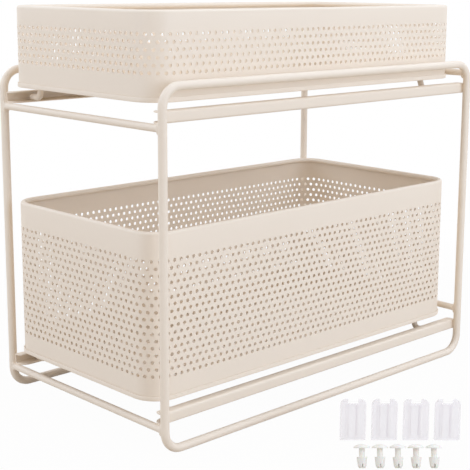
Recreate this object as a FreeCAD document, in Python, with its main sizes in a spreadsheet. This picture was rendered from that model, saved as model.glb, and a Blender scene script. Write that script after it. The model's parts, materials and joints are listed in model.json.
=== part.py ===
"""Two-tier under sink organizer: a wire frame with four rails and two baskets that slide out.

The frame stands with its front towards -Y and its long side along Y. The origin lies on the floor,
in the middle between the two side loops. All lengths are in millimetres.
"""
import FreeCAD, Part
import math
import os
import Sketcher

# Driving sizes
SIZES = {
    # side loops and cross wires
    "frame_length": 376.0,
    "frame_width": 212.0,
    "frame_height": 282.4,
    "loop_wire": 7.0,
    "loop_bend": 16.0,
    "cross_wire": 6.0,
    "lower_stop_rise": 21.1,
    "upper_stop_drop": 8.6,
    # slide rails
    "lower_rail_rise": 20.4,
    "upper_rail_drop": 27.9,
    "rail_height": 9.5,
    "rail_depth": 8.6,
    "rail_shelf": 3.4,
    "rail_sheet": 1.2,
    "rail_bend": 2.0,
    "rail_end_round": 8.0,
    # baskets
    "basket_side_gap": 6.7,
    "basket_corner": 22.0,
    "basket_sheet": 0.7,
    "lower_basket_rise": 15.9,
    "upper_basket_rise": 14.6,
    "stop_gap": 1.8,
    "lower_front_reach": 3.6,
    "upper_front_reach": 1.4,
    "lower_basket_height": 134.6,
    "upper_basket_height": 68.2,
    "hem_roll": 4.6,
    "lip_height": 3.8,
    "lip_gap": 0.4,
    # openings in the baskets, a plain stand-in for the fine perforation
    "grid_opening": 11.0,
    "grid_foot": 18.0,
    "lower_grid_head": 20.0,
    "upper_grid_head": 15.0,
    # hanger hooks
    "hook_headroom": 1.4,
    "hook_bend": 5.4,
    "hook_splay": 4.0,
    "hook_rail_gap": 7.0,
    "hook_tip_gap": 4.8,
    "hook_front_inset": 22.4,
    "hook_back_inset": 32.4,
    "slide_clearance": 0.3,
    # clip-on floor pads, which lie loose
    "clip_width": 20.6,
    "clip_height": 34.0,
    "clip_plate": 2.4,
    "clip_clearance": 0.2,
    "clip_rib": 1.8,
    "clip_rib_depth": 6.4,
    "clip_rib_drop": 7.6,
    "clip_lip": 0.8,
    "clip_lip_depth": 1.2,
    "clip_shoulder": 4.6,
    "clip_notch_width": 8.2,
    "clip_notch_depth": 3.8,
    "clip_side_distance": 77.8,
    "clip_front_distance": 130.7,
    "clip_pitch": 25.3,
    # push rivets, which lie loose
    "rivet_head": 12.4,
    "rivet_head_height": 3.0,
    "rivet_head_edge": 0.8,
    "rivet_shank": 4.4,
    "rivet_grip": 6.6,
    "rivet_barb": 8.2,
    "rivet_barb_height": 8.2,
    "rivet_tip": 4.6,
    "rivet_tip_height": 1.6,
    "rivet_neck": 6.6,
    "rivet_slot": 0.9,
    "rivet_slot_height": 3.4,
    "rivet_row_distance": 56.4,
    "rivet_row_shift": 1.8,
    "rivet_pitch": 13.7,
}
# The rows of loose pieces run at this angle to the organizer's short side, in degrees.
HARDWARE_TURN = 46.5
# The rivets lean back by this angle, in degrees.
RIVET_LEAN = 22
CLIP_COUNT = 4
RIVET_COUNT = 5
# How many openings the baskets have along each side and up their walls.
LONG_SIDE_OPENINGS = 12
SHORT_SIDE_OPENINGS = 6
OPENING_ROWS = {"lower": 4, "upper": 2}
# The round on a hook's tip, as a share of its wire.
HOOK_TIP_SHARE = 0.43

doc = FreeCAD.newDocument("UnderSinkOrganizer")
sheet = doc.addObject("Spreadsheet::Sheet", "Sizes")
for row, (alias, number) in enumerate(SIZES.items(), start=1):
    sheet.set("A%d" % row, alias)
    sheet.set("B%d" % row, str(number))
    sheet.setAlias("B%d" % row, alias)
doc.recompute()

subparts = []


class Size:
    """A length held twice: as a number to draw with and as a formula on the sheet to bind to."""

    def __init__(self, number, formula):
        self.number = number
        self.formula = formula

    @staticmethod
    def of(thing):
        if isinstance(thing, Size):
            return thing
        return Size(float(thing), repr(thing))

    def __add__(self, other):
        other = Size.of(other)
        return Size(self.number + other.number, "(%s + %s)" % (self.formula, other.formula))

    def __sub__(self, other):
        other = Size.of(other)
        return Size(self.number - other.number, "(%s - %s)" % (self.formula, other.formula))

    def __mul__(self, factor):
        factor = Size.of(factor)
        return Size(self.number * factor.number, "(%s * %s)" % (self.formula, factor.formula))

    def __truediv__(self, divisor):
        divisor = Size.of(divisor)
        return Size(self.number / divisor.number, "(%s / %s)" % (self.formula, divisor.formula))

    def __neg__(self):
        return Size(-self.number, "(-%s)" % self.formula)


def size(name):
    return Size(float(getattr(sheet, name)), "Sizes.%s" % name)


def square_root(length):
    return Size(math.sqrt(length.number), "sqrt(%s)" % length.formula)


def runs_along(direction, axis):
    """Whether an edge's unit direction follows an axis more than it crosses it."""
    return abs(getattr(direction, axis)) > math.cos(math.radians(45))


def bind(piece, name, length):
    """Ties one property of a piece to a formula on the sheet."""
    piece.setExpression(name, length.formula)


def place(piece, x=0, y=0, z=0, turn=0, lean=0):
    """Leans a piece back about its own X, turns it about Z, then moves it to a place from the sheet."""
    leaning = FreeCAD.Rotation(FreeCAD.Vector(1, 0, 0), -lean)
    turning = FreeCAD.Rotation(FreeCAD.Vector(0, 0, 1), turn)
    piece.Placement = FreeCAD.Placement(FreeCAD.Vector(), turning * leaning)
    for axis, length in (("x", x), ("y", y), ("z", z)):
        if isinstance(length, Size):
            bind(piece, "Placement.Base." + axis, length)


def new_body(label):
    body = doc.addObject("PartDesign::Body", label)
    body.Label = label
    return body


def new_sketch(body, role, name):
    """A sketch on one of the body's own origin planes."""
    plane = next(item for item in body.Origin.OriginFeatures if item.Role == role)
    sketch = body.newObject("Sketcher::SketchObject", name)
    sketch.AttachmentSupport = (plane, [""])
    sketch.MapMode = "FlatFace"
    return sketch


def pin_point(sketch, geometry, end, x, y):
    """Holds one end of a line, arc or circle at a place worked out on the sheet."""
    for kind, axis, length in (("DistanceX", -2, x), ("DistanceY", -1, y)):
        if isinstance(length, Size):
            held = Sketcher.Constraint(kind, -1, 1, geometry, end, length.number)
            bind(sketch, "Constraints[%d]" % sketch.addConstraint(held), length)
        else:
            sketch.addConstraint(Sketcher.Constraint("PointOnObject", geometry, end, axis))


def arc_between(start, end, radius, turn):
    """The shorter arc from start to end, turning left for +1 and right for -1."""
    chord = end - start
    across = FreeCAD.Vector(-chord.y, chord.x, 0)
    across.normalize()
    rise = math.sqrt(max(radius ** 2 - (chord.Length / 2) ** 2, 0))
    centre = (start + end) / 2 + across * (turn * rise)
    first, last = (start, end) if turn > 0 else (end, start)
    angles = [math.atan2(point.y - centre.y, point.x - centre.x) for point in (first, last)]
    circle = Part.Circle(centre, FreeCAD.Vector(0, 0, 1), radius)
    return Part.ArcOfCircle(circle, angles[0], angles[1])


def draw(sketch, corners, closed=True):
    """Draws lines and arcs from corner to corner.

    A corner is (x, y) where a line leaves it, or (x, y, radius, turn) where an arc leaves it.
    """
    def spot(corner):
        return FreeCAD.Vector(Size.of(corner[0]).number, Size.of(corner[1]).number, 0)

    stretches = []
    count = len(corners) if closed else len(corners) - 1
    for index in range(count):
        corner = corners[index]
        following = corners[(index + 1) % len(corners)]
        start, end = spot(corner), spot(following)
        if len(corner) == 2:
            geometry = sketch.addGeometry(Part.LineSegment(start, end), False)
            ends = (1, 2)
        else:
            radius, turn = corner[2], corner[3]
            geometry = sketch.addGeometry(arc_between(start, end, radius.number, turn), False)
            ends = (1, 2) if turn > 0 else (2, 1)
            held = Sketcher.Constraint("Radius", geometry, radius.number)
            bind(sketch, "Constraints[%d]" % sketch.addConstraint(held), radius)
        pin_point(sketch, geometry, ends[0], corner[0], corner[1])
        stretches.append((geometry, ends))
    for (geometry, ends), (following, following_ends) in zip(stretches, stretches[1:]):
        sketch.addConstraint(
            Sketcher.Constraint("Coincident", geometry, ends[1], following, following_ends[0]))
    last, last_ends = stretches[-1]
    if closed:
        first, first_ends = stretches[0]
        sketch.addConstraint(
            Sketcher.Constraint("Coincident", last, last_ends[1], first, first_ends[0]))
    else:
        pin_point(sketch, last, last_ends[1], corners[-1][0], corners[-1][1])


def draw_circle(sketch, x, y, diameter):
    centre = FreeCAD.Vector(Size.of(x).number, Size.of(y).number, 0)
    circle = Part.Circle(centre, FreeCAD.Vector(0, 0, 1), diameter.number / 2)
    geometry = sketch.addGeometry(circle, False)
    pin_point(sketch, geometry, 3, x, y)
    held = Sketcher.Constraint("Diameter", geometry, diameter.number)
    bind(sketch, "Constraints[%d]" % sketch.addConstraint(held), diameter)


def rounded_rectangle(half_x, half_y, radius):
    """Corners of a rounded rectangle about the origin, from the middle of its right side."""
    return [
        (half_x, 0),
        (half_x, half_y - radius, radius, 1),
        (half_x - radius, half_y),
        (radius - half_x, half_y, radius, 1),
        (-half_x, half_y - radius),
        (-half_x, radius - half_y, radius, 1),
        (radius - half_x, -half_y),
        (half_x - radius, -half_y, radius, 1),
        (half_x, radius - half_y),
    ]


def pad(body, sketch, length, side_type="One side", reverse=False):
    feature = body.newObject("PartDesign::Pad", "Pad")
    feature.Profile = sketch
    feature.SideType = side_type
    feature.Reversed = reverse
    bind(feature, "Length", length)
    return feature


def pocket_through(body, sketch):
    """Cuts a sketch right through the body on both sides, and makes sure that it cut."""
    doc.recompute()
    before = body.Shape.Volume
    feature = body.newObject("PartDesign::Pocket", "Pocket")
    feature.Profile = sketch
    feature.SideType = "Symmetric"
    feature.Type = "ThroughAll"
    doc.recompute()
    if not body.Shape.Volume < before:
        raise RuntimeError("%s: the pocket cut nothing" % body.Label)
    return feature


def opening_grid(body, role, width, columns, foot, height, rows):
    """Square openings right through the body, in a plain grid centred on the sketch's upright axis.

    The grid fills the width and the height from its foot, with half a pitch left free all round.
    """
    half = size("grid_opening") / 2
    column_pitch, row_pitch = width / columns, height / rows
    x, y = (column_pitch - width) / 2, foot + row_pitch / 2
    opening = new_sketch(body, role, "Opening")
    draw(opening, [(x - half, y - half), (x + half, y - half), (x + half, y + half), (x - half, y + half)])
    first = pocket_through(body, opening)
    grid = body.newObject("PartDesign::MultiTransform", "OpeningGrid")
    grid.Originals = [first]
    runs = []
    for axis, pitch, count in (("H_Axis", column_pitch, columns), ("V_Axis", row_pitch, rows)):
        run = body.newObject("PartDesign::LinearPattern", "OpeningRun")
        run.Direction = (opening, [axis])
        bind(run, "Length", pitch * (count - 1))
        run.Occurrences = count
        runs.append(run)
    grid.Transformations = runs
    body.Tip = grid
    doc.recompute()


def pipe(body, profile, spine):
    feature = body.newObject("PartDesign::AdditivePipe", "Pipe")
    feature.Profile = profile
    feature.Spine = spine
    return feature


def round_edges(body, radius, wanted):
    """Rounds each edge of the body that the test picks out by its middle and its direction."""
    doc.recompute()
    tip = body.Tip
    names = []
    for index, edge in enumerate(tip.Shape.Edges, start=1):
        middle = edge.valueAt((edge.FirstParameter + edge.LastParameter) / 2)
        direction = edge.tangentAt((edge.FirstParameter + edge.LastParameter) / 2)
        if wanted(middle, direction):
            names.append("Edge%d" % index)
    if not names:
        raise RuntimeError("%s: no edge to round" % body.Label)
    feature = body.newObject("PartDesign::Fillet", "Fillet")
    feature.Base = (tip, names)
    bind(feature, "Radius", radius)


# Places that several pieces share
loop_radius = size("loop_wire") / 2
loop_x = size("frame_width") / 2
upright_y = size("frame_length") / 2
rail_back_x = loop_x - loop_radius
rail_mouth_x = rail_back_x - size("rail_depth")
rail_shelf_x = rail_mouth_x - size("rail_shelf")
loop_top = loop_radius + size("frame_height")
basket_half_width = rail_back_x - size("basket_side_gap")
lip_reach = size("lip_gap") + size("basket_sheet")
rail_level = {
    "lower": loop_radius + size("lower_rail_rise"),
    "upper": loop_top - size("upper_rail_drop"),
}
# The back wires stop the baskets. The upper one is welded where the loop's top corner bends.
bend_depth = size("upper_stop_drop") * (size("loop_bend") * 2 - size("upper_stop_drop"))
back_wire_y = {
    "lower": upright_y,
    "upper": upright_y - size("loop_bend") + square_root(bend_depth),
}
back_wire_z = {
    "lower": rail_level["lower"] + size("lower_stop_rise"),
    "upper": loop_top - size("upper_stop_drop"),
}
hook_wire = size("rail_height") - size("rail_sheet") * 2 - size("slide_clearance") - size("hook_headroom")


def side_loop(label, x):
    """One closed loop of round wire, with its four corners bent."""
    body = new_body(label)
    bend = size("loop_bend")
    bottom, top = loop_radius, loop_top
    path = new_sketch(body, "YZ_Plane", "Path")
    draw(path, [
        (0, bottom),
        (upright_y - bend, bottom, bend, 1),
        (upright_y, bottom + bend),
        (upright_y, top - bend, bend, 1),
        (upright_y - bend, top),
        (bend - upright_y, top, bend, 1),
        (-upright_y, top - bend),
        (-upright_y, bottom + bend, bend, 1),
        (bend - upright_y, bottom),
    ])
    wire = new_sketch(body, "XZ_Plane", "Wire")
    draw_circle(wire, 0, bottom, size("loop_wire"))
    pipe(body, wire, path)
    place(body, x=x)
    subparts.append(body)
    return body


def cross_wire(label, y, z, loops):
    """A straight wire between the side loops, its ends coped to the round of the uprights."""
    rod = doc.addObject("Part::Cylinder", label + "_rod")
    bind(rod, "Radius", size("cross_wire") / 2)
    bind(rod, "Height", size("frame_width"))
    along_x = FreeCAD.Rotation(FreeCAD.Vector(0, 1, 0), 90)
    rod.Placement = FreeCAD.Placement(FreeCAD.Vector(), along_x)
    for axis, length in (("x", -loop_x), ("y", y), ("z", z)):
        bind(rod, "Placement.Base." + axis, length)
    coped = doc.addObject("Part::Cut", label)
    coped.Label = label
    coped.Base = rod
    coped.Tool = loops
    subparts.append(coped)


def rail(label, level, side):
    """A slide rail: a channel open towards the basket, with a shelf below and rounded flange ends."""
    body = new_body(label)
    back, mouth, shelf = rail_back_x, rail_mouth_x, rail_shelf_x
    sheet_thickness, bend, top = size("rail_sheet"), size("rail_bend"), size("rail_height")
    inner = bend - sheet_thickness
    section = new_sketch(body, "XZ_Plane", "Section")
    draw(section, [
        (shelf, 0),
        (back - bend, 0, bend, 1),
        (back, bend),
        (back, top - bend, bend, 1),
        (back - bend, top),
        (mouth, top),
        (mouth, top - sheet_thickness),
        (back - bend, top - sheet_thickness, inner, -1),
        (back - sheet_thickness, top - bend),
        (back - sheet_thickness, bend, inner, -1),
        (back - bend, sheet_thickness),
        (shelf, sheet_thickness),
    ])
    pad(body, section, size("frame_length"), side_type="Symmetric")
    corner = size("rail_end_round")
    ends = new_sketch(body, "XY_Plane", "FlangeEnds")
    for end, turn in ((upright_y, -1), (-upright_y, 1)):
        inwards = corner * turn
        draw(ends, [
            (shelf, end + inwards, corner, turn),
            (shelf + corner, end),
            (shelf + corner, end - inwards),
            (shelf - corner, end - inwards),
            (shelf - corner, end + inwards),
        ])
    pocket_through(body, ends)
    place(body, z=level, turn=0 if side > 0 else 180)
    subparts.append(body)


def basket(tier):
    """One basket: a sheet wall with a rolled hem, a floor pan round its foot and four hooks."""
    height = size(tier + "_basket_height")
    level = rail_level[tier]
    front_y = -upright_y - size(tier + "_front_reach")
    back_y = back_wire_y[tier] - size("cross_wire") / 2 - size("stop_gap")
    half_length = (back_y - front_y) / 2
    middle_y = (back_y + front_y) / 2
    rise = size(tier + "_basket_rise")
    bottom_z = level + rise
    wall = basket_wall(tier + "_basket_wall", half_length, height, middle_y, bottom_z)
    floor = floor_pan(tier + "_basket_floor", half_length, middle_y, bottom_z)
    long_side = (half_length - size("basket_corner")) * 2
    short_side = (basket_half_width - size("basket_corner")) * 2
    foot = size("grid_foot")
    band = height - foot - size(tier + "_grid_head")
    rows = OPENING_ROWS[tier]
    opening_grid(wall, "YZ_Plane", long_side, LONG_SIDE_OPENINGS, foot, band, rows)
    opening_grid(wall, "XZ_Plane", short_side, SHORT_SIDE_OPENINGS, foot, band, rows)
    opening_grid(floor, "XY_Plane", short_side, SHORT_SIDE_OPENINGS, -long_side / 2, long_side,
                 LONG_SIDE_OPENINGS)
    front_hook_y = front_y + size("hook_front_inset")
    back_hook_y = back_y - size("hook_back_inset")
    for end, hook_y in (("front", front_hook_y), ("back", back_hook_y)):
        for name, side in (("left", -1), ("right", 1)):
            hook("%s_%s_%s_hook" % (tier, end, name), side, hook_y, level, rise)


def basket_wall(label, half_length, height, middle_y, bottom_z):
    """The wall: one strip of sheet round the basket, its top edge rolled inwards to a bead."""
    body = new_body(label)
    path = new_sketch(body, "XY_Plane", "Path")
    draw(path, rounded_rectangle(basket_half_width, half_length, size("basket_corner")))
    outer = basket_half_width
    skin = size("basket_sheet")
    roll = size("hem_roll") / 2
    inner_roll = roll - skin
    foot = skin
    section = new_sketch(body, "XZ_Plane", "Section")
    draw(section, [
        (outer - skin, foot),
        (outer, foot),
        (outer, height - roll, roll, 1),
        (outer - roll, height, roll, 1),
        (outer - roll * 2, height - roll, roll, 1),
        (outer - roll, height - roll * 2),
        (outer - roll, height - roll * 2 + skin, inner_roll, -1),
        (outer - roll * 2 + skin, height - roll, inner_roll, -1),
        (outer - roll, height - skin, inner_roll, -1),
        (outer - skin, height - roll),
    ])
    pipe(body, section, path)
    place(body, y=middle_y, z=bottom_z)
    subparts.append(body)
    return body


def floor_pan(label, half_length, middle_y, bottom_z):
    """The floor: a shallow pan whose upturned lip wraps the foot of the wall from outside."""
    body = new_body(label)
    skin = size("basket_sheet")
    outer_corner = size("basket_corner") + lip_reach
    outline = new_sketch(body, "XY_Plane", "Outline")
    draw(outline, rounded_rectangle(basket_half_width + lip_reach, half_length + lip_reach, outer_corner))
    pad(body, outline, size("lip_height"))

    def under_edge(middle, direction):
        return middle.z < skin.number / 2 and not runs_along(direction, "z")

    round_edges(body, skin, under_edge)
    doc.recompute()
    before = body.Shape.Volume
    hollow = new_sketch(body, "XY_Plane", "Hollow")
    bind(hollow, "AttachmentOffset.Base.z", skin)
    draw(hollow, rounded_rectangle(basket_half_width + size("lip_gap"), half_length + size("lip_gap"),
                                   size("basket_corner") + size("lip_gap")))
    cut = body.newObject("PartDesign::Pocket", "Pocket")
    cut.Profile = hollow
    cut.Type = "ThroughAll"
    cut.Reversed = True
    doc.recompute()
    if not body.Shape.Volume < before / 2:
        raise RuntimeError("%s: the pan was not hollowed" % label)
    place(body, y=middle_y, z=bottom_z)
    subparts.append(body)
    return body


def hook(label, side, y, level, top_z):
    """A hanger hook: round wire that slants down from the basket's floor and bends out into the rail.

    The leg and the foot would meet at a corner, and the bend touches each at the same length from
    there. The leg is drawn one wire too long and cut flush with the floor's underside.
    """
    body = new_body(label)
    wire, bend, splay = hook_wire, size("hook_bend"), size("hook_splay")
    corner_x = rail_shelf_x - size("hook_rail_gap")
    tip_x = rail_back_x - size("rail_sheet") - size("hook_tip_gap")
    foot_z = size("rail_sheet") + size("slide_clearance") + wire / 2
    drop = top_z - foot_z
    leg = square_root(splay * splay + drop * drop)
    touch = bend * (leg - splay) / drop
    top_x = corner_x - splay
    path = new_sketch(body, "XZ_Plane", "Path")
    draw(path, [
        (tip_x, foot_z),
        (corner_x + touch, foot_z, bend, -1),
        (corner_x - splay * touch / leg, foot_z + drop * touch / leg),
        (top_x - splay * wire / leg, top_z + drop * wire / leg),
    ], closed=False)
    section = new_sketch(body, "YZ_Plane", "Section")
    bind(section, "AttachmentOffset.Base.z", tip_x)
    draw_circle(section, 0, foot_z, wire)
    pipe(body, section, path)
    flush = new_sketch(body, "XZ_Plane", "Flush")
    draw(flush, [
        (top_x - wire * 2, top_z), (top_x + wire * 2, top_z),
        (top_x + wire * 2, top_z + wire * 2), (top_x - wire * 2, top_z + wire * 2),
    ])
    pocket_through(body, flush)

    def tip_edge(middle, direction):
        return middle.x > tip_x.number - wire.number / 2 and not runs_along(direction, "x")

    round_edges(body, wire * HOOK_TIP_SHARE, tip_edge)
    place(body, y=y, z=level, turn=0 if side > 0 else 180)
    subparts.append(body)


def row_place(along, across):
    """A spot on the floor beside the organizer, counted along and across the rows of loose pieces."""
    angle = math.radians(HARDWARE_TURN)
    start_x = loop_x + size("clip_side_distance")
    start_y = size("clip_front_distance") - upright_y
    x = start_x + along * math.cos(angle) + across * math.sin(angle)
    y = start_y + along * math.sin(angle) - across * math.cos(angle)
    return x, y


def floor_clip(number):
    """A clip-on floor pad: a notched plate with two shorter ribs that grip the loop's bottom wire."""
    label = "floor_clip_%d" % number
    body = new_body(label)
    half_width = size("clip_width") / 2
    half_groove = (size("loop_wire") + size("clip_clearance")) / 2
    plate = size("clip_plate")
    rib_x = half_groove + size("clip_rib")
    rib_y = plate + size("clip_rib_depth")
    lip_x = half_groove - size("clip_lip")
    lip_y = rib_y - size("clip_lip_depth")
    section = new_sketch(body, "XY_Plane", "Plate")
    draw(section, [(-half_width, 0), (half_width, 0), (half_width, plate), (-half_width, plate)])
    height = size("clip_height")
    pad(body, section, height)

    def shoulder(middle, direction):
        at_top = middle.z > height.number - half_groove.number
        return runs_along(direction, "y") and at_top and abs(middle.x) > rib_x.number

    round_edges(body, size("clip_shoulder"), shoulder)
    notch_floor = height - size("clip_notch_depth")
    half_notch = size("clip_notch_width") / 2
    overrun = height + size("clip_notch_depth")
    notch = new_sketch(body, "XZ_Plane", "Notch")
    draw(notch, [
        (-half_notch, notch_floor), (half_notch, notch_floor),
        (half_notch, overrun), (-half_notch, overrun),
    ])
    pocket_through(body, notch)
    for side in (1, -1):
        rib = new_sketch(body, "XY_Plane", "Rib")
        draw(rib, [
            (half_groove * side, plate), (rib_x * side, plate), (rib_x * side, rib_y),
            (lip_x * side, rib_y), (lip_x * side, lip_y), (half_groove * side, lip_y),
        ])
        pad(body, rib, height - size("clip_rib_drop"))
    x, y = row_place(size("clip_pitch") * (number - 1), 0)
    place(body, x=x, y=y, turn=HARDWARE_TURN)
    subparts.append(body)


def push_rivet(index):
    """A push rivet: a domed head, a shank and a split, barbed foot, turned about its axis."""
    body = new_body("push_rivet_%d" % (index + 1))
    barb_top = size("rivet_barb_height")
    head_under = barb_top + size("rivet_grip")
    head_edge = head_under + size("rivet_head_edge")
    crown = head_under + size("rivet_head_height")
    shank, barb = size("rivet_shank") / 2, size("rivet_barb") / 2
    head = size("rivet_head") / 2
    dome_rise = crown - head_edge
    dome = (head * head + dome_rise * dome_rise) / (dome_rise * 2)
    profile = new_sketch(body, "XZ_Plane", "Profile")
    draw(profile, [
        (0, 0), (size("rivet_tip") / 2, 0),
        (size("rivet_neck") / 2, size("rivet_tip_height")),
        (barb, barb_top), (shank, barb_top), (shank, head_under), (head, head_under),
        (head, head_edge, dome, 1), (0, crown),
    ])
    turned = body.newObject("PartDesign::Revolution", "Revolution")
    turned.Profile = profile
    turned.ReferenceAxis = (profile, ["V_Axis"])
    turned.Angle = 360
    slot = new_sketch(body, "XZ_Plane", "Slot")
    half_slot = size("rivet_slot") / 2
    draw(slot, [
        (-half_slot, -half_slot), (half_slot, -half_slot),
        (half_slot, size("rivet_slot_height")), (-half_slot, size("rivet_slot_height")),
    ])
    pocket_through(body, slot)
    x, y = row_place(size("rivet_row_shift") + size("rivet_pitch") * index, size("rivet_row_distance"))
    foot = size("rivet_tip") / 2
    lowest = square_root(foot * foot - half_slot * half_slot) * math.sin(math.radians(RIVET_LEAN))
    place(body, x=x, y=y, z=lowest, turn=HARDWARE_TURN, lean=RIVET_LEAN)
    return body


# Frame
left_loop = side_loop("left_side_loop", -loop_x)
right_loop = side_loop("right_side_loop", loop_x)
both_loops = doc.addObject("Part::Compound", "both_loops")
both_loops.Links = [left_loop, right_loop]
for tier, level in rail_level.items():
    cross_wire(tier + "_front_cross_wire", -upright_y, level - size("cross_wire") / 2, both_loops)
    cross_wire(tier + "_back_cross_wire", back_wire_y[tier], back_wire_z[tier], both_loops)
    rail(tier + "_left_rail", level, -1)
    rail(tier + "_right_rail", level, 1)

# Baskets
for tier in rail_level:
    basket(tier)

# Loose fittings
for number in range(1, CLIP_COUNT + 1):
    floor_clip(number)
rivets = doc.addObject("Part::Compound", "push_rivets")
rivets.Label = "push_rivets"
rivets.Links = [push_rivet(index) for index in range(RIVET_COUNT)]
subparts.append(rivets)

# Checks, then the files
doc.recompute()
for item in doc.Objects:
    if "Invalid" in item.State or "Error" in item.State:
        raise RuntimeError("%s failed: %s" % (item.Label, item.State))
for piece in subparts:
    if piece.Shape.isNull() or not piece.Shape.isValid():
        raise RuntimeError("%s has no valid shape" % piece.Label)
os.makedirs("parts", exist_ok=True)
for piece in subparts:
    piece.Shape.exportStep("parts/%s.step" % piece.Label)
    print("%-28s %d solid(s) %10.1f mm3" % (piece.Label, len(piece.Shape.Solids), piece.Shape.Volume))
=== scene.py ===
# %% [markdown]
# # A two-tier under sink organizer in cream powder coat
# Two wire loops stand on the floor and carry two pairs of sheet rails. A shallow and a deep basket of
# perforated sheet hang in these rails by hooks and slide out to the front. Four clip-on pads and five
# push rivets stand loose beside it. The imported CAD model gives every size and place. This lesson adds
# what its solids leave out: the holes, the soft edges, the welds and the finishes.

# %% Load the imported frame
import json
import math

import bpy
import numpy as np
from mathutils import Matrix, Vector


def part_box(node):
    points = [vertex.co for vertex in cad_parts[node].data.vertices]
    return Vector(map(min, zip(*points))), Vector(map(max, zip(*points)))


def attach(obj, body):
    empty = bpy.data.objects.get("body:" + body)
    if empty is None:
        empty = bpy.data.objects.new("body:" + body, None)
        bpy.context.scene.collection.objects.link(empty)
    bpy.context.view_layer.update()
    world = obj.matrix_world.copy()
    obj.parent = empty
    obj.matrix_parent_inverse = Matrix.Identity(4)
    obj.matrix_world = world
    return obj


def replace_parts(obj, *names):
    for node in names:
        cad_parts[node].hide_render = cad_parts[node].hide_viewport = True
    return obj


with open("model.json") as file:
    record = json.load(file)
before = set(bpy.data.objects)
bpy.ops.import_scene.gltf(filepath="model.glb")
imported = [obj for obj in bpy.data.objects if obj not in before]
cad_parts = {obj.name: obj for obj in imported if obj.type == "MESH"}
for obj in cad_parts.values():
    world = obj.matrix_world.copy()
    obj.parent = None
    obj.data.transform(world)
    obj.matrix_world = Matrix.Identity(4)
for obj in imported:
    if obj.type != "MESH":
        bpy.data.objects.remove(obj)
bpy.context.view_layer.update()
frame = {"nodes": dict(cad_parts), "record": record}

MM = 0.001

# %% [markdown]
# ## The camera
# The reference picture looks down on the organizer's near corner from the right. A camera could be placed
# by eye, but the frame's straight edges give it exactly: their ends were marked in the picture, and a
# least squares fit gave the place, the three angles and the lens. The shift is what the cropping needs.

# %% Camera at the picture's viewing angle
camera_place = (0.7556, -0.7269, 0.3629)
camera_yaw, camera_pitch, camera_roll = np.radians([45.699, 10.905, 0.392])
camera_sensor, camera_focal = 36.0, 88.564
camera_shift = (-0.0423, -0.0693)

lens = bpy.data.cameras.new("camera")
lens.sensor_width = camera_sensor
lens.lens = camera_focal
lens.shift_x, lens.shift_y = camera_shift
camera = bpy.data.objects.new("camera", lens)
camera.matrix_world = (
    Matrix.Translation(camera_place)
    @ Matrix.Rotation(camera_yaw, 4, "Z")
    @ Matrix.Rotation(math.pi / 2 - camera_pitch, 4, "X")
    @ Matrix.Rotation(camera_roll, 4, "Z")
)
bpy.context.scene.collection.objects.link(camera)
bpy.context.scene.camera = camera
bpy.context.scene.view_settings.view_transform = "Standard"
print("camera looks along", np.round(camera.matrix_world.to_3x3() @ Vector((0, 0, -1)), 3))

# %% [markdown]
# ## Shader maths as Python
# A finish is a graph of nodes, and wiring sums by hand hides the idea. This small class wraps one socket:
# a sum or a product of signals and numbers adds the Math nodes, and `node` adds any other kind.


# %% A socket that can be added and multiplied
class Signal:
    """One output socket of a node tree. Arithmetic on signals and numbers adds Math nodes to the tree."""

    def __init__(self, tree, socket=None):
        self.tree = tree
        self.socket = socket

    def node(self, kind, settings=(), sockets=(), output=0):
        """Adds a node: first its settings, then a value or a signal for each named or numbered socket."""
        added = self.tree.nodes.new(kind)
        for name, value in dict(settings).items():
            setattr(added, name, value)
        for name, value in dict(sockets).items():
            if isinstance(value, Signal):
                self.tree.links.new(value.socket, added.inputs[name])
            else:
                added.inputs[name].default_value = value
        return Signal(self.tree, added.outputs[output] if added.outputs else None)

    def feed(self, shader, name):
        """Links this signal to a named socket of a node that is already there."""
        self.tree.links.new(self.socket, shader.inputs[name])

    def maths(self, operation, first, second):
        """Adds a Math node that works on two signals or numbers."""
        return self.node("ShaderNodeMath", {"operation": operation}, {0: first, 1: second})

    def __add__(self, other):
        return self.maths("ADD", self, other)

    def __radd__(self, other):
        return self.maths("ADD", other, self)

    def __mul__(self, other):
        return self.maths("MULTIPLY", self, other)

    def __rmul__(self, other):
        return self.maths("MULTIPLY", other, self)


def seen_ray(start):
    """1 on rays from the camera, off gloss and through clear plastic, and 0 on rays that carry light."""
    camera_ray = start.node("ShaderNodeLightPath", output="Is Camera Ray")
    gloss_ray = start.node("ShaderNodeLightPath", output="Is Glossy Ray")
    clear_ray = start.node("ShaderNodeLightPath", output="Is Transmission Ray")
    return start.maths("MAXIMUM", start.maths("MAXIMUM", camera_ray, gloss_ray), clear_ray)


# %% [markdown]
# ## Floor, sky and soft lamps
# The reference shows the organizer cut out on white. A white sweep could be lit until it clips, but that
# would burn out the cream paint as well. Here the floor is a pale surface that turns to plain white only
# for rays that look at it, fully so away from the organizer, so its soft shadow stays. An even, warm sky
# and five large, cooler softboxes light the object at a level where a colour renders about as it is
# written. The one overhead lights the upper basket's inside, so that its holes look pale. Where lamps don't
# reach, the warm sky is left alone, and cream bounces from sheet to sheet: this gives the shadows inside the
# lower basket and the rails their brown.

# %% The floor
floor_half = 14.0
floor_drop = 0.02 * MM
floor_tone = (0.55, 0.48, 0.40, 1.0)
floor_white_near = 0.975
floor_fade_from, floor_fade_to = 0.35, 0.75

floor_mesh = bpy.data.meshes.new("floor")
floor_corners = floor_half * np.array([(-1, -1, 0), (1, -1, 0), (1, 1, 0), (-1, 1, 0)])
floor_mesh.from_pydata(floor_corners.tolist(), [], [(0, 1, 2, 3)])
floor = bpy.data.objects.new("floor", floor_mesh)
floor.location.z = -floor_drop
bpy.context.scene.collection.objects.link(floor)

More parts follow.
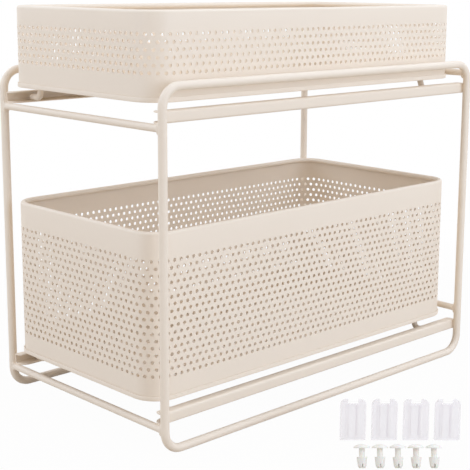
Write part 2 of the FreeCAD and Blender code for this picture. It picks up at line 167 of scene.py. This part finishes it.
floor_paper = bpy.data.materials.new("floor_paper")
floor_paper.use_nodes = True
floor_paper.node_tree.nodes.clear()
ink = Signal(floor_paper.node_tree)
place = ink.node("ShaderNodeTexCoord", output="Object")
away = ink.node("ShaderNodeVectorMath", {"operation": "LENGTH"}, {0: place}, output="Value")
far = ink.node(
    "ShaderNodeMapRange",
    {"interpolation_type": "SMOOTHSTEP"},
    {"Value": away, "From Min": floor_fade_from, "From Max": floor_fade_to},
)
whiteness = seen_ray(ink) * (floor_white_near + (1 - floor_white_near) * far)
matt = ink.node("ShaderNodeBsdfDiffuse", sockets={"Color": floor_tone})
white = ink.node("ShaderNodeEmission", sockets={"Strength": 1.0})
paper = ink.node("ShaderNodeMixShader", sockets={0: whiteness, 1: matt, 2: white})
ink.node("ShaderNodeOutputMaterial", sockets={"Surface": paper})
floor_mesh.materials.append(floor_paper)
print("floor white for looking rays: near", floor_white_near, "and full from", floor_fade_to, "m")

# %% The sky
sky_light = 0.515
sky_tint = (1.0, 0.92, 0.86, 1.0)

sky = bpy.data.worlds.new("sky")
sky.use_nodes = True
sky.node_tree.nodes.clear()
bpy.context.scene.world = sky
ink = Signal(sky.node_tree)
lighting = ink.node("ShaderNodeBackground", sockets={"Color": sky_tint, "Strength": sky_light})
backdrop = ink.node("ShaderNodeBackground", sockets={"Color": (1.0, 1.0, 1.0, 1.0), "Strength": 1.0})
by_ray = ink.node("ShaderNodeMixShader", sockets={0: seen_ray(ink), 1: lighting, 2: backdrop})
ink.node("ShaderNodeOutputWorld", sockets={"Surface": by_ray})
print("sky lights with", sky_light)

# %% The softboxes
object_middle = Vector((0.0, 0.0, 0.17))
lamp_tint = (0.644, 0.780, 1.0)


def softbox(name, azimuth, elevation, watts, distance=1.7, size=1.4):
    """A square lamp that looks at the organizer's middle. Azimuth 0 is the front and 90 the right."""
    turn, rise = math.radians(azimuth), math.radians(elevation)
    away = Vector((math.sin(turn) * math.cos(rise), -math.cos(turn) * math.cos(rise), math.sin(rise)))
    lamp = bpy.data.lights.new(name, "AREA")
    lamp.size = size
    lamp.energy = watts
    lamp.color = lamp_tint
    box = bpy.data.objects.new(name, lamp)
    box.location = object_middle + away * distance
    box.rotation_mode = "QUATERNION"
    box.rotation_quaternion = away.to_track_quat("Z", "Y")
    bpy.context.scene.collection.objects.link(box)
    print(name, "at", np.round(box.location, 2), "with", watts, "W")


softbox("right_softbox", azimuth=100, elevation=18, watts=16.9)
softbox("front_softbox", azimuth=-12, elevation=15, watts=11.2)
softbox("left_softbox", azimuth=-70, elevation=35, watts=7.0)
softbox("back_softbox", azimuth=170, elevation=40, watts=5.4)
softbox("top_softbox", azimuth=46, elevation=86, watts=10.0)

# %% [markdown]
# ## Cream powder coat
# All the metal carries one finish: polyester powder baked to a satin cream film. Seen close, it has a fine
# orange peel, and its sheen changes a little from place to place. A flat colour would look like paper, so
# two noises tint it and vary its roughness, and a third one lifts the peel as a bump.


# %% Start a finish from the standard shader
def start_finish(name, constants):
    """A new material with these constants on its shader, and a signal to build the rest from."""
    finish = bpy.data.materials.new(name)
    finish.use_nodes = True
    shader = finish.node_tree.nodes["Principled BSDF"]
    for socket, value in constants.items():
        shader.inputs[socket].default_value = value
    return finish, shader, Signal(finish.node_tree)


def noise(start, place, size, detail=2.0):
    """Cloudy noise from 0 to 1 whose clouds are about this size in metres."""
    return start.node("ShaderNodeTexNoise", sockets={"Vector": place, "Scale": 1 / size, "Detail": detail})


def blend(start, share, first, second):
    """A colour on the way from the first to the second."""
    return start.node("ShaderNodeMix", {"data_type": "RGBA"}, {0: share, 6: first, 7: second}, output=2)


# %% The powder coat
coat_full = (0.915, 0.799, 0.655, 1.0)
coat_thin = (0.890, 0.769, 0.622, 1.0)
drift_size, grain_size, peel_size = 60 * MM, 1.6 * MM, 0.7 * MM
peel_height = 0.05 * MM

powder_coat, shader, ink = start_finish("cream_powder_coat", {"IOR": 1.48, "Specular IOR Level": 0.42})
place = ink.node("ShaderNodeTexCoord", output="Object")
drift = noise(ink, place, drift_size)
grain = noise(ink, place, grain_size)
peel = noise(ink, place, peel_size, detail=1.0)
blend(ink, 0.6 * drift + 0.4 * grain, coat_thin, coat_full).feed(shader, "Base Color")
(0.36 + 0.10 * drift + 0.10 * grain).feed(shader, "Roughness")
orange_peel = ink.node("ShaderNodeBump", sockets={"Height": peel, "Strength": 0.5, "Distance": peel_height})
orange_peel.feed(shader, "Normal")
print("powder coat from", coat_thin[:3], "to", coat_full[:3])

# %% [markdown]
# ## Clear plastic and nylon
# The clip-on pads are moulded from cloudy see-through plastic and look almost white on white. The push
# rivets are natural nylon, a little yellower. Both are soft to light. The nylon scatters some of it below
# its surface. The pads let a share of each ray pass straight through, which is free of the speckles that
# bent rays bring, and so the ribs on their backs show. Upright bands in the pads are painted shade for the
# ribs' shadows seen through the plastic: a noise squeezed along its height, so that its clouds become darker
# streaks.

# %% The cloudy plastic of the pads
# The darker tone is painted shade for the ribs' shadows seen through the plastic; the lighter one is the
# plastic's own colour.
pad_painted_shade, pad_bright = (1.0, 0.93, 0.95, 1.0), (1.0, 0.97, 0.98, 1.0)
rib_shade_size, flow_size = 3.5 * MM, 2.2 * MM
band_squeeze = (1.0, 1.0, 0.03)

cloudy_plastic, shader, ink = start_finish(
    "cloudy_plastic",
    {"IOR": 1.46, "Transmission Weight": 0.12, "Specular IOR Level": 0.8, "Alpha": 0.37,
     "Coat Weight": 0.8, "Coat Roughness": 0.25},
)
place = ink.node("ShaderNodeTexCoord", output="Object")
upright = ink.node("ShaderNodeVectorMath", {"operation": "MULTIPLY"}, {0: place, 1: band_squeeze})
# Painted shade: upright streaks that darken the pads' colour where the ribs' shadows would show through.
bands = noise(ink, upright, rib_shade_size, detail=1.0)
flow = noise(ink, place, flow_size)
blend(ink, bands, pad_painted_shade, pad_bright).feed(shader, "Base Color")
(0.36 + 0.14 * flow).feed(shader, "Roughness")
print("pads from", pad_painted_shade[:3], "to", pad_bright[:3])

# %% The nylon of the rivets
nylon_dim, nylon_bright = (0.88, 0.83, 0.73, 1.0), (0.92, 0.89, 0.80, 1.0)
haze_size, mould_size = 4 * MM, 0.5 * MM
mould_depth = 0.04 * MM

ivory_nylon, shader, ink = start_finish(
    "ivory_nylon", {"IOR": 1.5, "Subsurface Weight": 0.12, "Subsurface Scale": 0.002}
)
place = ink.node("ShaderNodeTexCoord", output="Object")
haze = noise(ink, place, haze_size)
grain = noise(ink, place, mould_size, detail=1.0)
blend(ink, haze, nylon_dim, nylon_bright).feed(shader, "Base Color")
(0.38 + 0.12 * haze).feed(shader, "Roughness")
matt_mould = ink.node("ShaderNodeBump", sockets={"Height": grain, "Strength": 0.4, "Distance": mould_depth})
matt_mould.feed(shader, "Normal")
print("finishes:", powder_coat.name, cloudy_plastic.name, ivory_nylon.name)

# %% [markdown]
# ## From arrays to a piece
# Each new piece is worked out as arrays: points in metres and faces of point numbers. Blender takes such
# arrays whole, which is far quicker than adding faces one by one. Shading is smooth, except where two faces
# meet at a clear angle, such as around the rim of a hole.


# %% Put arrays into a mesh that rides on a body
def add_piece(node, points, faces, finish, crease=40):
    """A piece that stands for a CAD node: rides on its body and takes its slot. Faces is a list of arrays,
    one for each number of corners. Edges where faces meet at more than crease degrees stay sharp."""
    mesh = bpy.data.meshes.new(node + "_skin")
    corners = np.concatenate([np.full(len(group), group.shape[1]) for group in faces])
    mesh.vertices.add(len(points))
    mesh.vertices.foreach_set("co", points.astype(np.float32).ravel())
    mesh.loops.add(int(corners.sum()))
    numbers = np.concatenate([group.ravel() for group in faces])
    mesh.loops.foreach_set("vertex_index", numbers.astype(np.int32))
    mesh.polygons.add(len(corners))
    mesh.polygons.foreach_set("loop_start", (np.cumsum(corners) - corners).astype(np.int32))
    mesh.polygons.foreach_set("use_smooth", np.ones(len(corners), bool))
    mesh.update(calc_edges=True)
    mesh.set_sharp_from_angle(angle=math.radians(crease))
    mesh.materials.append(finish)
    piece = bpy.data.objects.new(node + "_skin", mesh)
    bpy.context.scene.collection.objects.link(piece)
    body = next(body for body, nodes in frame["record"]["behaviour"]["bodies"].items() if node in nodes)
    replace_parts(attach(piece, body), node)
    print(piece.name, "has", len(points), "points and", int((corners - 2).sum()), "triangles")


def grid_faces(numbers, around=True):
    """Four-cornered faces between neighbours of a grid of point numbers. Where around is true, the last
    column meets the first one again."""
    ahead = np.roll(numbers, -1, axis=1)
    quads = np.stack([numbers[:-1], ahead[:-1], ahead[1:], numbers[1:]], axis=-1)
    if not around:
        quads = quads[:, :-1]
    return quads.reshape(-1, 4)


# %% [markdown]
# ## A rectangle with round corners
# The loops, the basket walls and the pans all follow one outline: a rectangle with round corners. Drawing
# it by distance along its edge is handy, because holes can then be spaced evenly all the way round.


# %% The outline by distance
def round_rectangle(distance, half_width, half_length, radius):
    """Points at these distances along a rectangle with round corners, counterclockwise from the middle
    of its right side, and the directions square to it. Each is a corner's centre plus a radius: on a side
    the centre moves while the direction stays, and round a corner it is the other way round."""
    across, along = half_width - radius, half_length - radius
    turn = radius * math.pi / 2
    knots = np.cumsum([0, along, turn, 2 * across, turn, 2 * along, turn, 2 * across, turn, along])
    distance = np.mod(distance, knots[-1])
    angle = np.interp(distance, knots, np.radians([0, 0, 90, 90, 180, 180, 270, 270, 360, 360]))
    centre_x = np.interp(distance, knots, across * np.array([1, 1, 1, -1, -1, -1, -1, 1, 1, 1]))
    centre_y = np.interp(distance, knots, along * np.array([0, 1, 1, 1, 1, -1, -1, -1, -1, 0]))
    outward = np.stack([np.cos(angle), np.sin(angle)], axis=-1)
    return np.stack([centre_x, centre_y], axis=-1) + radius * outward, outward


def outline_length(half_width, half_length, radius):
    """Four sides without their corners, and four quarter turns."""
    return 4 * (half_width + half_length - 2 * radius) + 2 * math.pi * radius


# %% [markdown]
# ## The side loops
# Each side of the frame is one closed loop of 7 mm wire, bent at its four corners and welded end to end.
# A curve with a bevel would draw it, but a profile carried along a path is as short, and the same
# function makes every other wire of the organizer.


# %% A round wire along a flat path
def round_wire(path, across, radius, sides=20, closed=False):
    """A circle carried along a path that lies in a plane square to across. Each circle stands square to the
    path. The radius may change along the path and round the circle. Open ends are closed by flat caps."""
    if closed:
        tangent = np.roll(path, -1, axis=0) - np.roll(path, 1, axis=0)
    else:
        tangent = np.gradient(path, axis=0)
    tangent /= np.linalg.norm(tangent, axis=1, keepdims=True)
    across = np.broadcast_to(np.asarray(across, float), path.shape)
    aside = np.cross(tangent, across)
    turn = 2 * math.pi * np.arange(sides) / sides
    spoke = np.cos(turn)[:, None] * aside[:, None] + np.sin(turn)[:, None] * across[:, None]
    points = path[:, None] + np.broadcast_to(radius, (len(path), sides))[..., None] * spoke
    numbers = np.arange(len(path) * sides).reshape(len(path), sides)
    if closed:
        return points.reshape(-1, 3), [grid_faces(np.vstack([numbers, numbers[:1]]))[:, ::-1]]
    caps = np.stack([numbers[0], numbers[-1, ::-1]])
    return points.reshape(-1, 3), [grid_faces(numbers)[:, ::-1], caps]


# %% The two loops
loop_wire = 3.5 * MM
loop_bend = 16.0 * MM
loop_step = 2.5 * MM

for loop in ("left_side_loop", "right_side_loop"):
    low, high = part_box(loop)
    half_length = (high.y - low.y) / 2 - loop_wire
    half_height = (high.z - low.z) / 2 - loop_wire
    length = outline_length(half_length, half_height, loop_bend)
    flat, _ = round_rectangle(np.arange(0, length, loop_step), half_length, half_height, loop_bend)
    path = np.column_stack([np.full(len(flat), (low.x + high.x) / 2), flat[:, 0], flat[:, 1]])
    path += (0, (low.y + high.y) / 2, (low.z + high.z) / 2)
    points, faces = round_wire(path, (1, 0, 0), loop_wire, closed=True)
    add_piece(loop, points, faces, powder_coat)

# %% [markdown]
# ## The cross wires
# Four thinner wires tie the loops together at both ends. Where a wire meets an upright, the weld leaves a
# small hollow fillet above and below it. The fillet is part of the wire here: near each end its radius
# grows along a quarter circle, but only upwards and downwards, because the upright is no wider than it.

# %% The four cross wires with their welds
weld = 2.4 * MM
weld_points, plain_points = 9, 13
plain_share = 0.9
cross_sides = 24

for wire in ("lower_front", "lower_back", "upper_front", "upper_back"):
    low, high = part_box(wire + "_cross_wire")
    radius = (high.z - low.z) / 2
    half_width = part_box("right_side_loop")[0].x
    near_end = half_width - weld * np.linspace(1, 0, weld_points)
    far_from_ends = half_width * np.linspace(-plain_share, plain_share, plain_points)
    x = np.concatenate([[-high.x], -near_end[::-1], far_from_ends, near_end, [high.x]])
    middle = np.array([0, (low.y + high.y) / 2, (low.z + high.z) / 2])
    path = middle + x[:, None] * (1, 0, 0)
    to_upright = np.clip((half_width - np.abs(x)) / weld, 0, 1)
    fillet = weld * (1 - np.sqrt(1 - (1 - to_upright) ** 2))
    turn = 2 * math.pi * np.arange(cross_sides) / cross_sides
    radii = radius + fillet[:, None] * np.cos(turn) ** 2
    points, faces = round_wire(path, (0, 1, 0), radii, sides=cross_sides)
    add_piece(wire + "_cross_wire", points, faces, powder_coat)

# %% [markdown]
# ## The slide rails
# Each rail is a strip of sheet folded into a shallow channel that opens inwards. Its lower flange is the
# deeper one, a shelf on which the baskets' hooks run. Both flanges are cut round at the rail's ends. An
# extruded profile would end square, so the profile is carried along the rail, and at the ends the tips of
# the flanges step back to a quarter circle. There the back swells a little as well: this is the weld that
# fills the wedge between the rail and the round upright.

# %% The channel profile
rail_sheet = 1.2 * MM
rail_bend = 2.0 * MM
rail_shelf = 3.4 * MM
rail_end_round = 8.0 * MM
rail_weld = 1.3 * MM
rail_weld_reach = 4.5 * MM


def arc(centre, radius, start, stop, steps):
    """Points on a circle from one angle to another, in degrees, counterclockwise where the angle grows."""
    turn = np.radians(np.linspace(start, stop, steps + 1))
    return np.asarray(centre) + radius * np.stack([np.cos(turn), np.sin(turn)], axis=-1)


def channel_profile(depth, height):
    """The channel's outline, counterclockwise, with its back on the right at depth and the shelf's tip at
    zero: the back and the upper flange on the outside, then the same on the inside, and the shelf. The
    second result is how far out a flange's tip lies, and the whole depth for points that are on no tip.
    The third one is the share of the weld that a point takes: 1 on the back's outer face."""
    tip = rail_sheet / 2
    inner = rail_bend - rail_sheet
    low_bend, high_bend = (depth - rail_bend, rail_bend), (depth - rail_bend, height - rail_bend)
    swell = np.linspace(0, 1, 7)
    none = np.zeros(1)
    parts = [
        (arc(low_bend, rail_bend, -90, 0, 6), depth, swell),
        (arc(high_bend, rail_bend, 0, 90, 6), depth, swell[::-1]),
        (arc((rail_shelf + tip, height - tip), tip, 90, 270, 8), rail_shelf, none),
        (arc(high_bend, inner, 90, 0, 6), depth, none),
        (arc(low_bend, inner, 0, -90, 6), depth, none),
        (arc((tip, tip), tip, 90, 270, 8), 0, none),
    ]
    outline = np.concatenate([points for points, _, _ in parts])
    tip_place = np.concatenate([np.full(len(points), place) for points, place, _ in parts])
    weld_share = np.concatenate([np.broadcast_to(share, len(points)) for points, _, share in parts])
    return outline, tip_place, weld_share


# %% The four rails
rail_end_points = 13
bead_full_share = 0.6

for rail in ("lower_left_rail", "lower_right_rail", "upper_left_rail", "upper_right_rail"):
    low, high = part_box(rail)
    depth = high.x - low.x
    back = max(abs(low.x), abs(high.x))
    half_length = (high.y - low.y) / 2
    outline, tip_place, weld_share = channel_profile(depth, high.z - low.z)
    end = half_length - rail_end_round * (1 - np.sin(np.linspace(0, math.pi / 2, rail_end_points)))
    y = np.concatenate([-end[::-1], end])
    into_end = np.clip((np.abs(y) - half_length) / rail_end_round + 1, 0, 1)
    cut_place = rail_end_round * (1 - np.sqrt(1 - into_end**2))
    into_weld = np.clip((np.abs(y) - half_length) / rail_weld_reach + 1, 0, bead_full_share)
    bead = rail_weld * (1 - np.sqrt(1 - (into_weld / bead_full_share) ** 2))
    x = outline[:, 0] + np.maximum(cut_place[:, None] - tip_place, 0) + bead[:, None] * weld_share
    x += back - depth
    y, z = np.broadcast_arrays(y[:, None], low.z + outline[:, 1])
    points = np.stack([x, y, z], axis=-1).reshape(-1, 3)
    if "left" in rail:
        points = points * (-1, -1, 1)
    points[:, 1] += (low.y + high.y) / 2
    numbers = np.arange(len(points)).reshape(x.shape)
    caps = np.stack([numbers[0], numbers[-1, ::-1]])
    add_piece(rail, points, [grid_faces(numbers)[:, ::-1], caps], powder_coat, crease=50)

# %% [markdown]
# ## The basket walls
# Each basket wall is one strip of perforated sheet, bent round into a box with round corners, and its top
# edge is rolled inwards to a hem. The holes stand in staggered rows and run round the corners as well.
# Cutting thousands of holes with a Boolean would be slow and leave ragged faces. The sheet is instead laid
# out as cells, one to each hole: six points on the cell's edge, a ring of ten at the hole, and faces
# between them, on the outside and on the inside, joined through the hole.

# %% Cells with a hole
sheet = 0.7 * MM
corner_radius = 22.0 * MM
hole_pitch = 6.43 * MM
hole_radius = 1.58 * MM
row_pitch = 5.75 * MM
hole_turn = np.radians(np.arange(0, 360, 36))
hole_ring = hole_radius * np.stack([np.cos(hole_turn), np.sin(hole_turn)], axis=-1)
nearest_edge_point = np.array([0, 1, 2, 2, 3, 3, 4, 5, 5, 0])


def cell_faces(edge, front, back_edge, back):
    """Faces of cells with a hole. Edge holds six point numbers for each cell, counterclockwise from its
    lower right corner, and front ten for its hole. Between two hole points there is a triangle where both
    lie nearest to the same edge point, and a four-cornered face where they don't. The back skin is the
    same the other way round, and four-cornered faces line the hole."""
    here = nearest_edge_point
    ahead = np.roll(here, -1)
    same = here == ahead
    following = np.roll(front, -1, axis=1)
    following_back = np.roll(back, -1, axis=1)
    corners = np.stack([front, edge[:, here], following], -1)[:, same]
    sides = np.stack([front, edge[:, here], edge[:, ahead], following], -1)[:, ~same]
    back_corners = np.stack([following_back, back_edge[:, here], back], -1)[:, same]
    back_sides = np.stack([following_back, back_edge[:, ahead], back_edge[:, here], back], -1)[:, ~same]
    lining = np.stack([front, following, following_back, back], -1)
    triangles = np.concatenate([corners.reshape(-1, 3), back_corners.reshape(-1, 3)])
    quads = np.concatenate([part.reshape(-1, 4) for part in (sides, back_sides, lining)])
    return triangles, quads


# %% A wall with a rolled hem
hem_radius = 2.3 * MM
hem_steps = 14


def wall_section(foot, top, row_lines):
    """The wall's cross section as distance outwards from the outer face, and height: up the outside, round
    three quarters of the hem, and back down the inside, point by point opposite each other."""
    roll = np.linspace(0, 1.5 * math.pi, hem_steps + 1)
    flat = np.zeros(1 + len(row_lines))
    outside = np.concatenate([flat, hem_radius * (np.cos(roll) - 1)])
    inside = np.concatenate([flat - sheet, (hem_radius - sheet) * np.cos(roll) - hem_radius])
    straight = np.concatenate([[foot], row_lines])
    height_outside = np.concatenate([straight, top - hem_radius + hem_radius * np.sin(roll)])
    height_inside = np.concatenate([straight, top - hem_radius + (hem_radius - sheet) * np.sin(roll)])
    return np.concatenate([outside, inside[::-1]]), np.concatenate([height_outside, height_inside[::-1]])


def perforated_wall(low, high, first_row, rows):
    """Points and faces of a wall in this box. First_row is the height of the lowest row of holes above the
    wall's foot, and each row stands half a pitch along from the one below it."""
    half_width, half_length = high.x, (high.y - low.y) / 2
    middle = np.array([0, (high.y + low.y) / 2])
    length = outline_length(half_width, half_length, corner_radius)
    holes = round(length / hole_pitch)
    columns = 2 * holes
    half_pitch = length / columns
    lines = low.z + first_row + row_pitch * (np.arange(rows + 1) - 0.5)
    offset, height = wall_section(low.z, high.z, lines)

    def on_wall(distance, outwards, up):
        """Points at these distances along the outline, moved outwards from it, at a height."""
        flat, outward = round_rectangle(distance, half_width, half_length, corner_radius)
        flat = flat + middle + np.asarray(outwards)[..., None] * outward
        return np.concatenate([flat, np.broadcast_to(up, distance.shape)[..., None]], axis=-1)

    around = half_pitch * np.arange(columns)
    rings = len(offset)
    ring_points = on_wall(np.broadcast_to(around, (rings, columns)), offset[:, None], height[:, None])
    numbers = np.arange(rings * columns).reshape(rings, columns)

    row, hole = np.divmod(np.arange(rows * holes), holes)
    start = 2 * hole + row % 2
    hole_distance = half_pitch * (start[:, None] + 1) + hole_ring[:, 0]
    hole_height = low.z + first_row + row_pitch * row[:, None] + hole_ring[:, 1]
    front_points = on_wall(hole_distance, np.zeros_like(hole_distance), hole_height)
    back_points = on_wall(hole_distance, np.full_like(hole_distance, -sheet), hole_height)
    front = numbers.size + np.arange(front_points[..., 0].size).reshape(-1, len(hole_ring))
    back = front + front.size

    up = np.array([0, 1, 1, 1, 0, 0])
    right = np.array([2, 2, 1, 0, 0, 1])
    line = 1 + row[:, None] + up
    column = (start[:, None] + right) % columns
    triangles, quads = cell_faces(numbers[line, column], front, numbers[rings - 1 - line, column], back)
    loops = np.vstack([numbers, numbers[:1]])
    plain = np.ones(rings, bool)
    plain[1 : rows + 1] = False
    plain[rings - 2 - rows : rings - 2] = False
    bands = grid_faces(loops).reshape(rings, columns, 4)[plain].reshape(-1, 4)
    points = np.concatenate([part.reshape(-1, 3) for part in (ring_points, front_points, back_points)])
    return points, [triangles, np.concatenate([quads, bands])]


# %% The two walls
lower_first_row, lower_rows = 18.9 * MM, 17
upper_first_row, upper_rows = 21.0 * MM, 6

for wall, first_row, rows in (
    ("lower_basket_wall", lower_first_row, lower_rows),
    ("upper_basket_wall", upper_first_row, upper_rows),
):
    points, faces = perforated_wall(*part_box(wall), first_row, rows)
    add_piece(wall, points, faces, powder_coat)

# %% [markdown]
# ## The basket floors
# The floor of a basket is a pan of the same perforated sheet. Its edge turns up into a low lip outside the
# wall's foot, and shows as a band along the bottom of the basket. The holes fill the rectangle between the
# centres of the round corners. From there the plain border and the lip spread out, straight along the
# sides and like a fan at the corners.

# %% The edge of a pan
pan_fan_steps = 8
pan_edge_steps = 4


def pan_border(across, along):
    """The edge of a grid of points, counterclockwise from its lowest corner, with each corner repeated so
    that a fan can start there, and the direction outwards at each of them."""
    fan = np.radians(np.linspace(0, 90, pan_fan_steps + 1))
    sides = [across - 1, along - 1, across - 1, along - 1]
    lines, columns, turns = [], [], []
    at = np.array([0, 0])
    for side, (steps, move) in enumerate(zip(sides, ([1, 0], [0, 1], [-1, 0], [0, -1]))):
        straight = at + np.outer(np.arange(1, steps), move)
        corner = np.repeat([at + np.multiply(steps, move)], len(fan), axis=0)
        stretch = np.vstack([straight, corner])
        lines.append(stretch[:, 0])
        columns.append(stretch[:, 1])
        facing = math.pi / 2 * (side - 1)
        turns.append(np.concatenate([np.full(len(straight), facing), facing + fan]))
        at = corner[0]
    turn = np.concatenate(turns)
    return np.concatenate(lines), np.concatenate(columns), np.stack([np.cos(turn), np.sin(turn)], axis=-1)


def pan_section(reach, height):
    """The pan's edge as distance outwards from the holes' rectangle, and height: round the lower edge, up
    the outside, over the lip, and down its inside to the upper face."""
    low_edge = arc((reach - sheet, sheet), sheet, -90, 0, pan_edge_steps)
    lip_edge = arc((reach - sheet / 2, height - sheet / 2), sheet / 2, 0, 180, pan_edge_steps)
    return np.vstack([low_edge, lip_edge, [(reach - sheet, sheet)]])


def pan_lip(under, under_numbers, section, first_number):
    """The section carried round the edge of the grid, and faces from the grid's underside out to the lip
    and back to its upper face. At a corner the fan starts in one point, which leaves triangles there."""
    line, column, outward = pan_border(*under_numbers.shape)
    base = under_numbers[line, column]
    flat = under[line, column, :2] + section[:, :1, None] * outward
    height = np.broadcast_to(under[0, 0, 2] + section[:, 1, None], flat.shape[:2])
    numbers = first_number + np.arange(height.size).reshape(height.shape)
    faces = grid_faces(np.vstack([base, numbers, base + under_numbers.size]))
    low_fan = faces[:, 0] == faces[:, 1]
    high_fan = faces[:, 2] == faces[:, 3]
    triangles = np.concatenate([faces[low_fan][:, [1, 2, 3]], faces[high_fan][:, [0, 1, 2]]])
    return np.concatenate([flat, height[..., None]], axis=-1), triangles, faces[~low_fan & ~high_fan]


# %% A perforated pan
def perforated_pan(low, high, wall_low, wall_high):
    """Points and faces of a pan in this box, whose lip stands round the wall's box."""
    inner_x, inner_y = wall_high.x - corner_radius, (wall_high.y - wall_low.y) / 2 - corner_radius
    middle_y = (wall_high.y + wall_low.y) / 2
    rows = round(2 * inner_x / row_pitch)
    holes = round(2 * inner_y / hole_pitch)
    line_x = np.linspace(-inner_x, inner_x, rows + 1)
    column_y = middle_y + np.linspace(-inner_y, inner_y, 2 * holes + 1)
    grid_x, grid_y = np.meshgrid(line_x, column_y, indexing="ij")
    under = np.stack([grid_x, grid_y, np.full_like(grid_x, low.z)], axis=-1)
    over = under + (0, 0, sheet)
    under_numbers = np.arange(grid_x.size).reshape(grid_x.shape)
    over_numbers = under_numbers + grid_x.size

    row, hole = np.divmod(np.arange(rows * holes), holes)
    kept = 2 * hole + row % 2 + 2 < len(column_y)
    row, start = row[kept], (2 * hole + row % 2)[kept]
    hole_x = (line_x[row] + line_x[row + 1])[:, None] / 2 + hole_ring[:, 1]
    hole_y = column_y[start + 1][:, None] + hole_ring[:, 0]
    front_points = np.stack([hole_x, hole_y, np.full_like(hole_x, low.z)], axis=-1)
    back_points = front_points + (0, 0, sheet)
    front = 2 * grid_x.size + np.arange(hole_x.size).reshape(hole_x.shape)
    back = front + front.size
    line = row[:, None] + np.array([0, 1, 1, 1, 0, 0])
    column = start[:, None] + np.array([2, 2, 1, 0, 0, 1])
    triangles, quads = cell_faces(under_numbers[line, column], front, over_numbers[line, column], back)
    odd = np.arange(1, rows, 2)[:, None]
    ends = np.array([0, len(column_y) - 2])
    halves = np.stack([under_numbers[odd, ends], under_numbers[odd, ends + 1],
                       under_numbers[odd + 1, ends + 1], under_numbers[odd + 1, ends]], -1).reshape(-1, 4)

    section = pan_section(high.x - inner_x, high.z - low.z)
    lip, lip_triangles, lip_quads = pan_lip(under, under_numbers, section, back[-1, -1] + 1)
    return (
        np.concatenate([part.reshape(-1, 3) for part in (under, over, front_points, back_points, lip)]),
        [np.concatenate([triangles, lip_triangles]),
         np.concatenate([quads, halves, halves[:, ::-1] + grid_x.size, lip_quads])],
    )


# %% The two pans
for tier in ("lower", "upper"):
    points, faces = perforated_pan(*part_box(tier + "_basket_floor"), *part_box(tier + "_basket_wall"))
    add_piece(tier + "_basket_floor", points, faces, powder_coat)

# %% [markdown]
# ## The hooks
# Four bent wires hang under each basket, reach down into the rails and slide there. Each leg slants
# outwards and is welded to the pan at its top, with a small fillet, and the tip of the foot is ground
# round. Leg and foot would meet at a corner, and the bend touches both at the same length from it.

# %% Eight hooks
hook_wire = 2.7 * MM
hook_bend = 5.4 * MM
hook_splay = 4.0 * MM
hook_weld = 1.4 * MM
hook_weld_shares = np.array([0, 0.02, 0.2, 0.4, 0.6, 0.8, 1])
weld_upright_share = 0.1
hook_bend_steps = 10
dome = np.radians(np.linspace(0, 86, 7))

for hook in [name for name in frame["nodes"] if name.endswith("_hook")]:
    low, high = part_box(hook)
    side = 1 if low.x > 0 else -1
    foot = low.z + hook_wire
    drop = high.z - foot
    leg = math.hypot(hook_splay, drop)
    top = min(abs(low.x), abs(high.x)) + hook_wire * leg / drop
    tip = max(abs(low.x), abs(high.x)) - hook_wire
    touch = hook_bend * (leg - hook_splay) / drop
    slant = math.degrees(math.atan2(hook_splay, drop))
    down = hook_weld * hook_weld_shares
    slanted = np.where(hook_weld_shares > weld_upright_share, down, 0)
    flat = np.vstack([
        np.column_stack([top + slanted * hook_splay / drop, high.z - down]),
        arc((top + hook_splay + touch, foot + hook_bend), hook_bend, 180 + slant, 270, hook_bend_steps),
        np.column_stack([tip + hook_wire * np.sin(dome), np.full(len(dome), foot)]),
    ])
    weld_flare = hook_weld * (1 - np.sqrt(1 - (1 - hook_weld_shares) ** 2))
    straight = np.full(len(flat) - len(down) - len(dome), hook_wire)
    radii = np.concatenate([hook_wire + weld_flare, straight, hook_wire * np.cos(dome)])
    path = np.column_stack([flat[:, 0] * side, np.full(len(flat), (low.y + high.y) / 2), flat[:, 1]])
    points, faces = round_wire(path, (0, 1, 0), radii[:, None])
    add_piece(hook, points, faces, powder_coat)

# %% [markdown]
# ## Pads and rivets
# The clip-on pads and the rivets are small moulded pieces whose CAD shapes are right as they are, so these
# nodes stay and only get their finishes.

# %% Finishes of the carried-over nodes
loose_finishes = {"push_rivets": ivory_nylon}
loose_finishes.update({f"floor_clip_{count}": cloudy_plastic for count in range(1, 5)})
for name, finish in loose_finishes.items():
    frame["nodes"][name].material_slots[0].material = finish
print("CAD nodes that show:", [name for name, node in frame["nodes"].items() if not node.hide_render])
